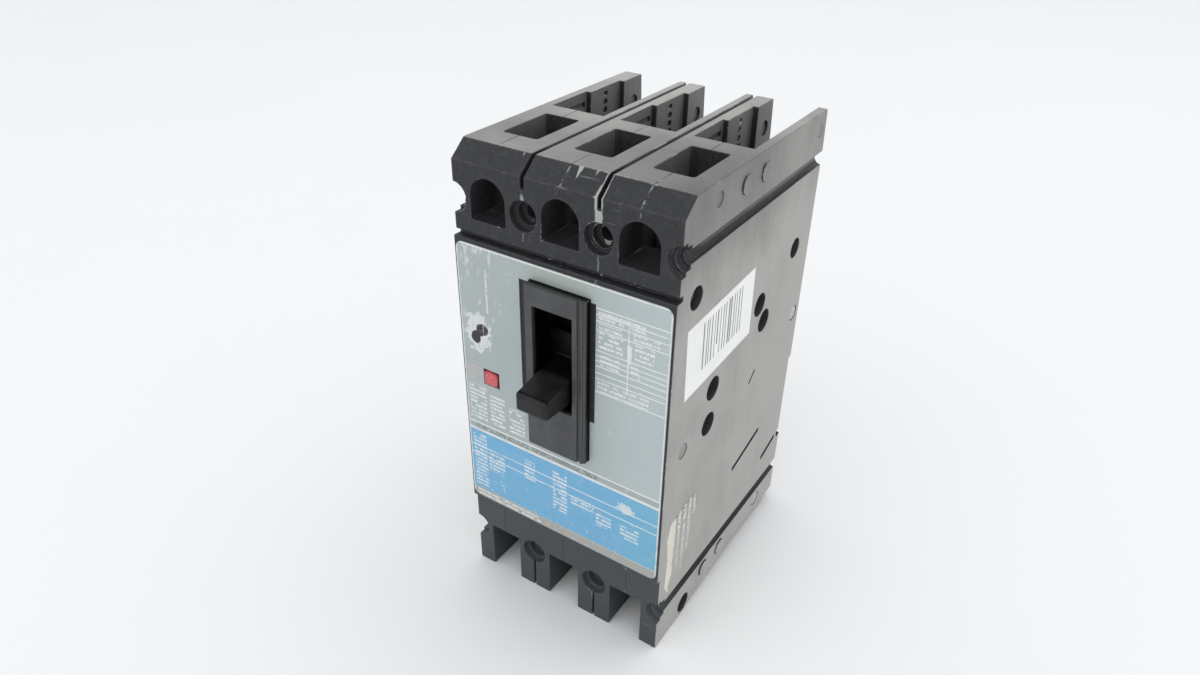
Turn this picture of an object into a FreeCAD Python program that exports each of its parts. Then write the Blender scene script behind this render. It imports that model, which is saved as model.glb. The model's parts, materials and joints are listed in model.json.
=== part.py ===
"""A three-pole moulded case circuit breaker, as separate named pieces.

Everything is drawn in millimetres. X runs across the poles, Y runs from the face of the
nameplate (Y = 0) to the back, and Z runs up from the feet. The last step moves the whole
model along Y, so that the origin ends up in the middle of the bottom.
The handle is drawn at OFF, so every contact is open.
"""
import FreeCAD, Part
import math
import os

V = FreeCAD.Vector
BIG = 400.0          # far past everything

# Overall sizes
POLE_PITCH = 25.4
WIDTH = 3 * POLE_PITCH
HEIGHT = 162.6
BACK_Y = 96.6
POLES = {"left": -POLE_PITCH, "center": 0.0, "right": POLE_PITCH}
SEPTUMS = (-POLE_PITCH / 2, POLE_PITCH / 2)
SIDE_X = WIDTH / 2

# Clearances
RUN = 0.1          # round pin or shaft in its hole, on the radius
GAP = 0.4          # between parts that slide past each other

# Case, front
PLATE_T = 0.4      # nameplate
CASE_FRONT = PLATE_T
FRONT_WALL = 3.0
FOOT_Y = 1.8       # front of the feet and of the band above them
UPPER_Y = 1.5      # front of the upper block
LABEL_Z0 = 32.3
LABEL_Z1 = HEIGHT - 28.2
GROOVE_H = 1.6     # dark groove between the label face and the upper block
GROOVE_D = 1.8
CHAMFER_Y = 7.4
CHAMFER_Z = HEIGHT - 4.9

# Case, inside
CELL_HALF = 9.2    # half width of one pole's cell
CELL_FLOOR = 26.0
CELL_TOP = HEIGHT - 36.6
CELL_BACK = 86.0
ARC_Y0 = 46.0      # the contacts' part of the cell reaches higher, up to the recess floor
ARC_BACK = 79.5
ARC_Z0 = 99.0
RECESS_FLOOR = HEIGHT - 19.6
ROOF = 2.6         # between the contacts and the recess floor
ARC_TOP = RECESS_FLOOR - ROOF

# Line end of one pole: window on top, round-topped screwdriver hole in front
WINDOW_HALF = 6.2
WINDOW_Y = (17.4, 38.9)
DOOR_HALF = 6.3
DOOR_H = 7.2       # of the straight sides, under the round top
DOOR_Z0 = HEIGHT - 22.0
LUG_SHELF_Z = HEIGHT - 29.6
LUG_CELL_Y0 = 16.0

# Recess behind each window, open above and behind
RECESS_Y = 47.0
RECESS_STEP_Y = (66.0, 84.0)
RECESS_LEFT = (9.6, 7.8, 6.0)   # distance of the left wall from the pole's middle, by zone
RECESS_RIGHT = 9.5
BARRIER_SLOT = 1.3
BARRIER_Z0 = HEIGHT - 8.6

# Load end of one pole: gap between the feet, and the lug's cell behind it
FOOT_GAP_HALF = 6.15
FOOT_GAP_Z = 19.0
LOAD_CELL_Y = (22.0, 50.0)
LOAD_CELL_Z = 24.0

# Mounting holes with a stepped counterbore
HOLE_R = 2.2
HOLE_Z = (16.5, HEIGHT - 16.5)
BORE_R = (4.7, 3.5)
BORE_DEPTH = (2.5, 4.8)

# Rivets through the case, as (Y, Z): two sunk in pockets, two flush with the sides
RIVET_R = 1.9
RIVET_HEAD_R = 2.7
RIVET_HEAD_T = 1.0
RIVET_SUNK_AT = ((11.4, HEIGHT - 30.8), (83.7, 118.2))
RIVET_SUNK = 2.0
RIVET_POCKET_R = 3.5
RIVET_FLUSH_AT = ((91.6, 89.2), (79.5, 9.6))
RIVET_FLUSH = 0.1
RIVET_FLUSH_R = 2.8

# Moulded marks in both sides of the case, as (Y, Z)
BLIND_AT = ((58.3, 108.0), (63.3, 99.8), (28.1, 92.7), (27.0, 79.7))
BLIND_DEPTH = 2.6
BLIND_R = 4.0
PIN_MARKS = ((20.3, HEIGHT - 5.4, 2.2), (92.2, HEIGHT - 6.2, 2.2), (10.7, 79.7, 2.6))
PIN_MARK_DEPTH = 0.4
FOOT_POCKET = (20.8, 4.8, 3.6, 2.2)                     # with radius and depth
BOSSES = ((36.6, HEIGHT - 6.5, 3.0), (49.3, HEIGHT - 6.7, 3.0), (34.6, 10.3, 3.0),
          (47.3, 10.3, 3.0))                            # with radius
BOSS_T = 0.7
SIDE_SLITS = (((60.9, 81.1), (57.6, 77.9), 0.9), ((72.0, 48.6), (52.4, 44.0), 1.7),
              ((90.7, 33.2), (80.5, 30.2), 1.9))        # with width
SLIT_DEPTH = 2.2
EDGE_NOTCH_Z = (34.5, 68.2)   # thin notch down the back edge, with a round foot
EDGE_NOTCH_W = 1.5
EDGE_NOTCH_FOOT = (95.1, 33.2, 1.9)
SEAM_W = 0.8       # groove between two feet, below the lower holes
SEAM_D = 1.4

# Lugs, straps and screws
LUG_W = 14.8
LUG_SIDE = 0.5     # clearance on each side of a lug
LUG_CELL_HALF = LUG_W / 2 + LUG_SIDE
LUG_D = 16.0
LUG_H = 16.0
LINE_BORE_R = 4.6
LOAD_BORE_R = 4.8
SCREW_R = 3.4
SCREW_L = 8.0
STRAP_T = 2.0
STRAP_W = 11.0
LINE_LUG_BACK = 39.0
LINE_SCREW_Z = LUG_SHELF_Z + 11.5
LOAD_LUG_H = 18.0
LOAD_LUG_BACK = 42.0
LOAD_LUG_Z0 = 3.5
LOAD_SCREW_Z = LOAD_LUG_Z0 + 8.5
LOAD_STRAP_TOP = 64.0

# Handle
HANDLE_AXIS = (52.0, 104.5)
HANDLE_OFF = 8.5        # degrees below level at OFF
HANDLE_TIP_Y = -14.0
HANDLE_W = 11.2
OPENING_HALF = 7.0
OPENING_Z = (88.0, 121.3)
FLANGE_R = (44.4, 46.0)
SHIELD_R = (42.2, 43.2)
SHIELD_HALF_ANGLE = 25.0
FLANGE_HALF_ANGLE = 15.5

# Escutcheon round the handle
ESC_X = (-9.8, 11.4)
ESC_Z = (70.8, 128.0)
ESC_FRONT = -3.0
ESC_RIDGE_X = 8.9
ESC_COLLAR = 1.2
ESC_COLLAR_BACK = 5.4

# Trip button
BUTTON_AT = (-POLE_PITCH - 0.9, 86.9)
BUTTON_W = 5.2
BUTTON_H = 4.8
BUTTON_TAIL_R = 1.5

# Contacts
CROSSBAR_AXIS = (68.0, 74.0)
CROSSBAR_R = 5.0
ARM_W = 3.6
ARM_D = 7.0
ARM_R = 40.0
ARM_OPEN = 24.0         # degrees the arms stand away from closed
TIP_T = 2.4
TIP_R = 36.5
CONTACT_GAP = 0.15      # left between the closed contacts
LEVER_R = 16.0
LEVER_ANGLE = 124.0     # of the crossbar's lever at OFF, from +Y

# Arc chutes
CHUTE_Y0 = 57.0
CHUTE_PITCH = 4.0
CHUTE_PLATES = 4

# Toggle
PIN_R = 1.2
FIXED_PIN_R = 1.5
UPPER_PIN = (40.0, 92.0)
UPPER_L = 12.5
LOWER_L = 13.0
LINK_X = (2.2, 3.2)
LINK_HALF = 2.6
CRADLE_AXIS = (36.0, 113.0)
CRADLE_T = 2.0
CRADLE_TIP = (21.8, 88.0)
LATCH_AXIS = (18.8, 76.0)
FRAME_T = 1.2
YOKE_T = 1.0
YOKE_REACH = 40.0       # of the handle yoke from the handle's axis
SPRING_X = 5.4
SPRING_R = 0.9
SPRING_ANCHOR_R = 35.8

# Trip unit
TRIP_AXIS = (20.0, 62.0)
TRIP_R = 2.6
ARMATURE_AXIS = (32.0, 50.0)

made = {}


def box(x0, x1, y0, y1, z0, z1):
    return Part.makeBox(x1 - x0, y1 - y0, z1 - z0, V(x0, y0, z0))


def rod_x(y, z, r, x0, x1):
    return Part.makeCylinder(r, x1 - x0, V(x0, y, z), V(1, 0, 0))


def rod_y(x, z, r, y0, y1):
    return Part.makeCylinder(r, y1 - y0, V(x, y0, z), V(0, 1, 0))


def rod_z(x, y, r, z0, z1):
    return Part.makeCylinder(r, z1 - z0, V(x, y, z0), V(0, 0, 1))


def slab_x(points, x0, x1):
    """A flat outline of (Y, Z) points, thick from x0 to x1."""
    wire = Part.makePolygon([V(x0, y, z) for y, z in points + points[:1]])
    return Part.Face(wire).extrude(V(x1 - x0, 0, 0))


def fuse(*shapes):
    return shapes[0].multiFuse(list(shapes[1:])).removeSplitter()


def group(*shapes):
    return Part.makeCompound(list(shapes))


def polar(centre, radius, degrees):
    """The (Y, Z) point at this radius and angle, where 0 degrees is +Y and 90 is +Z."""
    a = math.radians(degrees)
    return (centre[0] + radius * math.cos(a), centre[1] + radius * math.sin(a))


def bar_between(a, b, half, x0, x1):
    """A round-ended bar between two (Y, Z) points."""
    length = math.dist(a, b)
    uy, uz = (b[0] - a[0]) / length, (b[1] - a[1]) / length
    corners = [
        (a[0] - uz * half, a[1] + uy * half),
        (b[0] - uz * half, b[1] + uy * half),
        (b[0] + uz * half, b[1] - uy * half),
        (a[0] + uz * half, a[1] - uy * half),
    ]
    body = slab_x(corners, x0, x1)
    return fuse(body, rod_x(*a, half, x0, x1), rod_x(*b, half, x0, x1))


def sector(centre, r0, r1, middle, half, x0, x1):
    """Part of a tube about X, from middle - half to middle + half degrees."""
    ring = rod_x(*centre, r1, x0, x1).cut(rod_x(*centre, r0, x0 - 1, x1 + 1))
    far = 2 * r1
    wedge = slab_x([centre, polar(centre, far, middle - half), polar(centre, far, middle + half)],
                   x0 - 1, x1 + 1)
    return ring.common(wedge)


def turned(shape, axis, degrees):
    """A copy turned about X through the (Y, Z) point, positive from +Y towards +Z."""
    copy = shape.copy()
    copy.rotate(V(0, axis[0], axis[1]), V(1, 0, 0), degrees)
    return copy


def filleted(shape, radius, wanted):
    """Round the edges for which wanted(edge) is true."""
    edges = [e for e in shape.Edges if wanted(e)]
    return shape.makeFillet(radius, edges) if edges else shape


def runs_along(edge, axis):
    """True where the edge is straight and parallel to the axis number 0, 1 or 2."""
    if edge.Curve.TypeId != "Part::GeomLine":
        return False
    d = edge.Curve.Direction
    return abs((d.x, d.y, d.z)[axis]) > 0.999


# ---------------------------------------------------------------- the moulded case

def case_outline():
    return [
        (FOOT_Y, 0), (FOOT_Y, LABEL_Z0), (CASE_FRONT, LABEL_Z0), (CASE_FRONT, LABEL_Z1),
        (UPPER_Y + GROOVE_D, LABEL_Z1), (UPPER_Y + GROOVE_D, LABEL_Z1 + GROOVE_H),
        (UPPER_Y, LABEL_Z1 + GROOVE_H), (UPPER_Y, CHAMFER_Z), (CHAMFER_Y, HEIGHT),
        (BACK_Y - 0.8, HEIGHT), (BACK_Y, HEIGHT - 12), (BACK_Y, 0),
    ]


def door(x):
    """Round-topped screwdriver hole in front of one lug."""
    arch_z = DOOR_Z0 + DOOR_H
    depth = (UPPER_Y - 1, WINDOW_Y[0] + 0.5)
    return fuse(box(x - DOOR_HALF, x + DOOR_HALF, *depth, DOOR_Z0, arch_z),
                rod_y(x, arch_z, DOOR_HALF, *depth))


def line_end(x):
    window = box(x - WINDOW_HALF, x + WINDOW_HALF, *WINDOW_Y, HEIGHT - 16, HEIGHT + 1)
    window = filleted(window, 1.0, lambda e: runs_along(e, 2))
    cell = box(x - LUG_CELL_HALF, x + LUG_CELL_HALF, LUG_CELL_Y0,
               LINE_LUG_BACK + STRAP_T, LUG_SHELF_Z, LUG_SHELF_Z + LUG_H + 1.2)
    channel = box(x - STRAP_W / 2 - GAP, x + STRAP_W / 2 + GAP, LINE_LUG_BACK,
                  ARC_Y0 + 1, LUG_SHELF_Z + 1.5, LUG_SHELF_Z + 3 + STRAP_T + 1.5)
    return fuse(window, cell, channel, door(x))


def cell(x):
    """One pole's cell for the trip unit, mechanism and contacts."""
    left, right = x - CELL_HALF, x + CELL_HALF
    front = CASE_FRONT + FRONT_WALL
    low = box(left, right, front, CELL_BACK, CELL_FLOOR, ARC_Z0 + 1)
    mid = box(left, right, front, ARC_BACK, ARC_Z0, CELL_TOP)
    arc = box(left, right, ARC_Y0, ARC_BACK, ARC_Z0, ARC_TOP)
    return fuse(low, mid, arc)


def rear_recess(x):
    """Open recess behind the window: its left wall steps inwards in three zones."""
    ends = (RECESS_Y,) + RECESS_STEP_Y + (BACK_Y + 1,)
    zones = [
        box(x - left, x + RECESS_RIGHT, ends[i], ends[i + 1], RECESS_FLOOR, HEIGHT + 1)
        for i, left in enumerate(RECESS_LEFT)
    ]
    hollow = fuse(*zones)
    louvres = [
        box(x - RECESS_LEFT[0] - 1.0, x - RECESS_LEFT[0] + 1, RECESS_Y + 3,
            RECESS_STEP_Y[0] - 1, z, z + 1.6)
        for z in [RECESS_FLOOR + 2.5 + 4.0 * i for i in range(4)]
    ]
    middle = sum(RECESS_STEP_Y) / 2
    dimples = [
        box(x - RECESS_LEFT[1] - 0.9, x, middle - 1.1, middle + 1.1, z, z + 1.5)
        for z in [RECESS_FLOOR + 2.4 + 2.8 * i for i in range(6)]
    ]
    round_dimple = rod_x(BACK_Y - 6, RECESS_FLOOR + 11, 2.5, x - RECESS_LEFT[2] - 0.9, x)
    return fuse(hollow, *louvres, *dimples, round_dimple)


def load_end(x):
    gap = box(x - FOOT_GAP_HALF, x + FOOT_GAP_HALF, -1, LOAD_CELL_Y[0] + 1, -1, FOOT_GAP_Z)
    lug_cell = box(x - LUG_CELL_HALF, x + LUG_CELL_HALF, LOAD_CELL_Y[0],
                   LOAD_LUG_BACK + STRAP_T, -1, LOAD_CELL_Z)
    strap_way = box(x - STRAP_W / 2 - GAP, x + STRAP_W / 2 + GAP, LOAD_LUG_BACK,
                    LOAD_LUG_BACK + STRAP_T, LOAD_CELL_Z - 1, CELL_FLOOR + 1)
    return fuse(gap, lug_cell, strap_way)


def barrier_slot(x):
    """Slot for an insulating barrier between two poles, open on top, down the chamfer."""
    half = BARRIER_SLOT / 2
    return box(x - half, x + half, -1, BACK_Y + 1, BARRIER_Z0, HEIGHT + 1)


def mounting_hole(x, z):
    """Clearance hole right through, with two counterbore steps at the front."""
    front = -1.0
    return fuse(rod_y(x, z, HOLE_R, front, BACK_Y + 1),
                rod_y(x, z, BORE_R[0], front, UPPER_Y + BORE_DEPTH[0]),
                rod_y(x, z, BORE_R[1], front, UPPER_Y + BORE_DEPTH[1]))


def rivet_hole(y, z, sunk, pocket_r):
    deep = sunk + RIVET_HEAD_T
    through = rod_x(y, z, RIVET_R + RUN, -SIDE_X - 1, SIDE_X + 1)
    return fuse(through, *side_pair(y, z, pocket_r, deep))


def side_pair(y, z, r, depth):
    """The same round pocket in both sides of the case."""
    return [rod_x(y, z, r, SIDE_X - depth, SIDE_X + 1),
            rod_x(y, z, r, -SIDE_X - 1, -SIDE_X + depth)]


def side_slit(a, b, width, depth):
    slit = bar_between(a, b, width / 2, SIDE_X - depth, SIDE_X + 1)
    return [slit, slit.mirror(V(0, 0, 0), V(1, 0, 0))]


def foot_relief():
    """The outer feet are cut away under their outer edge, more towards the back."""
    outline = [(14.0, -1), (14.0, 0.4), (66.0, 4.8), (BACK_Y + 1, 3.8), (BACK_Y + 1, -1)]
    depth = 4.0
    return [slab_x(outline, SIDE_X - depth, SIDE_X + 1),
            slab_x(outline, -SIDE_X - 1, -SIDE_X + depth)]


def shaft_end():
    """Half length of the crossbar and the trip bar, into the side walls."""
    return POLE_PITCH + CELL_HALF + 0.8


def case_cuts():
    cuts = []
    for x in POLES.values():
        cuts += [line_end(x), cell(x), rear_recess(x), load_end(x)]
    for x in SEPTUMS:
        cuts.append(barrier_slot(x))
        cuts.append(box(x - SEAM_W / 2, x + SEAM_W / 2, FOOT_Y - 1, FOOT_Y + SEAM_D,
                        -1, HOLE_Z[0]))
    for x in (-SIDE_X,) + SEPTUMS + (SIDE_X,):
        cuts += [mounting_hole(x, z) for z in HOLE_Z]
    cuts += [rivet_hole(y, z, RIVET_SUNK, RIVET_POCKET_R) for y, z in RIVET_SUNK_AT]
    cuts += [rivet_hole(y, z, RIVET_FLUSH, RIVET_FLUSH_R) for y, z in RIVET_FLUSH_AT]
    for y, z in BLIND_AT:
        cuts += side_pair(y, z, BLIND_R, BLIND_DEPTH)
    for y, z, r in PIN_MARKS:
        cuts += side_pair(y, z, r, PIN_MARK_DEPTH)
    cuts += side_pair(*FOOT_POCKET)
    for a, b, width in SIDE_SLITS:
        cuts += side_slit(a, b, width, SLIT_DEPTH)
    notch = box(SIDE_X - SLIT_DEPTH, SIDE_X + 1, BACK_Y - EDGE_NOTCH_W, BACK_Y + 1, *EDGE_NOTCH_Z)
    cuts += [notch, notch.mirror(V(0, 0, 0), V(1, 0, 0))]
    cuts += side_pair(*EDGE_NOTCH_FOOT, SLIT_DEPTH)
    cuts += foot_relief()
    # the handle's opening and the trip button's hole
    through = (-1, CASE_FRONT + FRONT_WALL + 1)
    room = ESC_COLLAR + 0.2
    cuts.append(box(-OPENING_HALF - room, OPENING_HALF + room, *through,
                    OPENING_Z[0] - room, OPENING_Z[1] + room))
    bx, bz = BUTTON_AT
    half_w = BUTTON_W / 2 + 0.3
    half_h = BUTTON_H / 2 + 0.3
    cuts.append(box(bx - half_w, bx + half_w, *through, bz - half_h, bz + half_h))
    # bearings of the crossbar and the trip bar, in the septums and the side walls
    end = shaft_end() + GAP
    cuts.append(rod_x(*CROSSBAR_AXIS, CROSSBAR_R + RUN, -end, end))
    cuts.append(rod_x(*TRIP_AXIS, TRIP_R + RUN, -end, end))
    return cuts


def build_case():
    body = slab_x(case_outline(), -SIDE_X, SIDE_X)
    bosses = [rod_x(y, z, r, -SIDE_X - BOSS_T, SIDE_X + BOSS_T) for y, z, r in BOSSES]
    body = fuse(body, *bosses).cut(case_cuts())
    # rib that carries the trip button's tail, in the left pole's cell
    rib = box(-POLE_PITCH - CELL_HALF, -POLE_PITCH + CELL_HALF, 12, 13.5, 80, 94)
    rib = rib.cut(rod_y(*BUTTON_AT, BUTTON_TAIL_R + 2 * RUN, 11, 15))
    body = body.fuse(rib).removeSplitter()
    names = ("left_case_shell", "left_partition_shell",
             "right_partition_shell", "right_case_shell")
    edges = (-SIDE_X - 1, -POLE_PITCH, 0, POLE_PITCH, SIDE_X + 1)
    for i, name in enumerate(names):
        made[name] = body.common(box(edges[i], edges[i + 1], -BIG, BIG, -BIG, BIG))


def rivet(y, z, sunk):
    end = SIDE_X - sunk
    shank = rod_x(y, z, RIVET_R, -end + RIVET_HEAD_T, end - RIVET_HEAD_T)
    heads = [rod_x(y, z, RIVET_HEAD_R, end - RIVET_HEAD_T, end),
             rod_x(y, z, RIVET_HEAD_R, -end, -end + RIVET_HEAD_T)]
    return fuse(shank, *heads)


def build_rivets():
    sunk = [rivet(y, z, RIVET_SUNK) for y, z in RIVET_SUNK_AT]
    flush = [rivet(y, z, RIVET_FLUSH) for y, z in RIVET_FLUSH_AT]
    made["case_rivets"] = group(*sunk, *flush)


# ---------------------------------------------------------------- front plates

def build_front():
    plate = box(-SIDE_X + 0.8, SIDE_X - 0.8, 0, PLATE_T, LABEL_Z0 + 1.5, LABEL_Z1 - 1.4)
    plate = filleted(plate, 2.4, lambda e: runs_along(e, 1))
    plate = plate.cut(box(ESC_X[0] - 3.9, ESC_X[1] + 1.9, -1, 1, 86, ESC_Z[1] - 0.9))
    plate = plate.cut(box(ESC_X[0] - 0.2, ESC_X[1] + 0.2, -1, 1, ESC_Z[0] - 0.2, 90))
    plate = plate.cut(box(ESC_X[0] - 0.2, ESC_X[1] + 0.2, -1, 1, 120, ESC_Z[1] + 0.2))
    bx, bz = BUTTON_AT
    plate = plate.cut(box(bx - 3.2, bx + 3.2, -1, 1, bz - 3.0, bz + 3.0))
    made["nameplate"] = plate

    body = box(*ESC_X, ESC_FRONT, CASE_FRONT, *ESC_Z)
    body = filleted(body, 0.6, lambda e: runs_along(e, 2) and e.CenterOfMass.y < -1)
    ledge = box(ESC_RIDGE_X, ESC_X[1] + 1, ESC_FRONT - 1, ESC_FRONT + 0.7, 0, BIG)
    body = body.cut(ledge)
    bead = box(ESC_RIDGE_X + 0.9, ESC_X[1] - 0.7, ESC_FRONT + 0.1, ESC_FRONT + 1,
               ESC_Z[0], ESC_Z[1])
    half = OPENING_HALF + ESC_COLLAR
    collar = box(-half, half, CASE_FRONT - 0.4, ESC_COLLAR_BACK,
                 OPENING_Z[0] - ESC_COLLAR, OPENING_Z[1] + ESC_COLLAR)
    body = fuse(body, bead, collar)
    made["escutcheon"] = body.cut(box(-OPENING_HALF, OPENING_HALF, -BIG, BIG, *OPENING_Z))


def build_stickers():
    thick = 0.1
    sticker = box(SIDE_X, SIDE_X + thick, 8.2, 51.2, 99.9, 123.8)
    sticker.rotate(V(0, 29.7, 111.8), V(1, 0, 0), 2.5)
    made["barcode_sticker"] = sticker
    torn = [(5.2, 26.0), (6.0, 38.0), (4.8, 47.0), (6.6, 53.0), (13.0, 54.4), (22.5, 55.0),
            (23.6, 47.0), (20.4, 44.0), (21.6, 36.0), (17.4, 31.0), (17.8, 25.0),
            (12.0, 24.0), (8.4, 20.4)]
    made["torn_label"] = slab_x(torn, SIDE_X, SIDE_X + thick)


# ---------------------------------------------------------------- line and load ends

def clamp_screw(x, z, y0):
    body = rod_y(x, z, SCREW_R, y0, y0 + SCREW_L)
    return body.cut(box(x - BIG, x + BIG, y0 - 1, y0 + 1.6, z - 0.6, z + 0.6))


def build_line_end(name, x):
    y0 = LINE_LUG_BACK - LUG_D
    bore_y = LINE_LUG_BACK - LUG_D / 2
    lug = box(x - LUG_W / 2, x + LUG_W / 2, y0, LINE_LUG_BACK,
              LUG_SHELF_Z, LUG_SHELF_Z + LUG_H)
    lug = lug.cut(rod_z(x, bore_y, LINE_BORE_R, 0, BIG))
    lug = lug.cut(rod_y(x, LINE_SCREW_Z, SCREW_R + RUN / 2, y0 - 1, bore_y))
    made["line_lug_" + name] = lug
    start = bore_y - LINE_BORE_R - 0.4 - SCREW_L
    made["line_clamp_screw_" + name] = clamp_screw(x, LINE_SCREW_Z, start)

    half = STRAP_W / 2
    back = ARC_BACK - 1.0
    tab = box(x - half, x + half, LINE_LUG_BACK, LINE_LUG_BACK + STRAP_T,
              LUG_SHELF_Z + 3, LUG_SHELF_Z + LUG_H - 1)
    run_z = LUG_SHELF_Z + 3
    run = box(x - half, x + half, LINE_LUG_BACK, back, run_z, run_z + STRAP_T)
    drop = box(x - half, x + half, back - STRAP_T, back,
               CROSSBAR_AXIS[1] + TIP_R - 9.5, run_z + STRAP_T)
    made["line_strap_" + name] = fuse(tab, run, drop)


def stationary_tip(x):
    back = ARC_BACK - 1.0 - STRAP_T
    face = CROSSBAR_AXIS[0] + ARM_D / 2 + TIP_T + CONTACT_GAP
    z = CROSSBAR_AXIS[1] + TIP_R
    return box(x - 2.6, x + 2.6, face, back, z - 3, z + 3)


def build_load_end(name, x):
    y0 = LOAD_LUG_BACK - LUG_D
    bore_y = LOAD_LUG_BACK - LUG_D / 2
    lug = box(x - LUG_W / 2, x + LUG_W / 2, y0, LOAD_LUG_BACK,
              LOAD_LUG_Z0, LOAD_LUG_Z0 + LOAD_LUG_H)
    lug = lug.cut(rod_z(x, bore_y, LOAD_BORE_R, -1, BIG))
    lug = lug.cut(rod_y(x, LOAD_SCREW_Z, SCREW_R + RUN / 2, y0 - 1, bore_y))
    made["load_lug_" + name] = lug
    start = bore_y - LOAD_BORE_R - 0.4 - SCREW_L
    made["load_clamp_screw_" + name] = clamp_screw(x, LOAD_SCREW_Z, start)
    half = STRAP_W / 2
    made["load_strap_" + name] = box(x - half, x + half, LOAD_LUG_BACK,
                                     LOAD_LUG_BACK + STRAP_T, LOAD_LUG_Z0 + 1,
                                     LOAD_STRAP_TOP)


# ---------------------------------------------------------------- trip unit

def bimetal(x):
    foot = box(x - 3.5, x + 3.5, LOAD_LUG_BACK - 2.6, LOAD_LUG_BACK, 28, 34)
    blade = box(x - 3.5, x + 3.5, LOAD_LUG_BACK - 2.6, LOAD_LUG_BACK - 1.4, 33, 60)
    return fuse(foot, blade)


def magnet_yoke(x):
    back = LOAD_LUG_BACK + STRAP_T
    web = box(x - 7.4, x + 7.4, back, back + 1.6, 38, 50)
    ay, az = ARMATURE_AXIS
    outline = [(ay - 2.6, az - 3), (ay - 2.6, az + 3), (ay + 3, az + 3), (back + 1.6, 50),
               (back + 1.6, 38), (ay + 4, 38)]
    cheeks = [slab_x(outline, x + 6.2, x + 7.4), slab_x(outline, x - 7.4, x - 6.2)]
    return fuse(web, *cheeks).cut(rod_x(ay, az, 1.2 + RUN, x - 8, x + 8))


def armature(x):
    ay, az = ARMATURE_AXIS
    plate = box(x - 5.8, x + 5.8, ay - 0.7, ay + 0.7, az - 14, az)
    finger = box(x - 2, x + 2, ay - 0.7, ay + 0.7, az, az + 9)
    pin = rod_x(ay, az, 1.2, x - 7.4, x + 7.4)
    return fuse(plate, finger, pin)


def build_trip_bar():
    ty, tz = TRIP_AXIS
    end = shaft_end()
    parts = [rod_x(ty, tz, TRIP_R, -end, end)]
    for x in POLES.values():
        parts.append(slab_x([(ty, tz + 2), (ty + 10, tz - 2.2), (ty + 10, tz - 4.6), (ty, tz - 2)],
                            x - 2.5, x + 2.5))
    bx, bz = BUTTON_AT
    lever_front = ty - TRIP_R
    parts.append(box(bx - 2, bx + 2, lever_front, lever_front + 2.2, tz, bz + 2))
    parts.append(box(-2, 2, ty - 2.0, ty - 0.4, tz, LATCH_AXIS[1] - 5.1))
    made["trip_bar"] = fuse(*parts)


def build_button():
    x, z = BUTTON_AT
    head = box(x - BUTTON_W / 2, x + BUTTON_W / 2, -0.5, 4.0, z - BUTTON_H / 2, z + BUTTON_H / 2)
    flange = box(x - 3.8, x + 3.8, CASE_FRONT + FRONT_WALL + 0.3, 4.9, z - 3.6, z + 3.6)
    tail = rod_y(x, z, BUTTON_TAIL_R, 4.5, TRIP_AXIS[0] - TRIP_R - GAP)
    made["trip_button"] = fuse(head, flange, tail)
    spring = rod_y(x, z, 2.9, 4.9, 12).cut(rod_y(x, z, BUTTON_TAIL_R + 0.2, 4, 13))
    made["trip_button_spring"] = spring


# ---------------------------------------------------------------- mechanism

def both_sides(points, x0, x1):
    """The same flat outline on both sides of the middle plane."""
    return [slab_x(points, x0, x1), slab_x(points, -x1, -x0)]


def build_frame():
    outer, inner = CELL_HALF, CELL_HALF - FRAME_T
    back = HANDLE_AXIS[0] + 4.0
    outline = [(16.0, 68.0), (back, 68.0), (back, 112.0), (back - 7, 119.0),
               (24.0, 119.0), (17.6, 112.0), (17.6, 80.0), (16.0, 79.0)]
    cheeks = both_sides(outline, inner, outer)
    floor = box(-outer, outer, 26, back, 68, 68 + FRAME_T)
    roof = box(-outer, outer, 30, 48, 119 - FRAME_T, 119)
    frame = fuse(*cheeks, floor, roof)
    for axis in (HANDLE_AXIS, CRADLE_AXIS, LATCH_AXIS):
        frame = frame.cut(rod_x(*axis, FIXED_PIN_R, -outer - 1, outer + 1))
    made["mechanism_frame"] = frame
    leg = inner - GAP - YOKE_T
    pins = [rod_x(*CRADLE_AXIS, FIXED_PIN_R, -outer, outer),
            rod_x(*LATCH_AXIS, FIXED_PIN_R, -outer, outer),
            rod_x(*HANDLE_AXIS, FIXED_PIN_R, leg, outer),
            rod_x(*HANDLE_AXIS, FIXED_PIN_R, -outer, -leg)]
    made["mechanism_pins"] = group(*pins)


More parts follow.
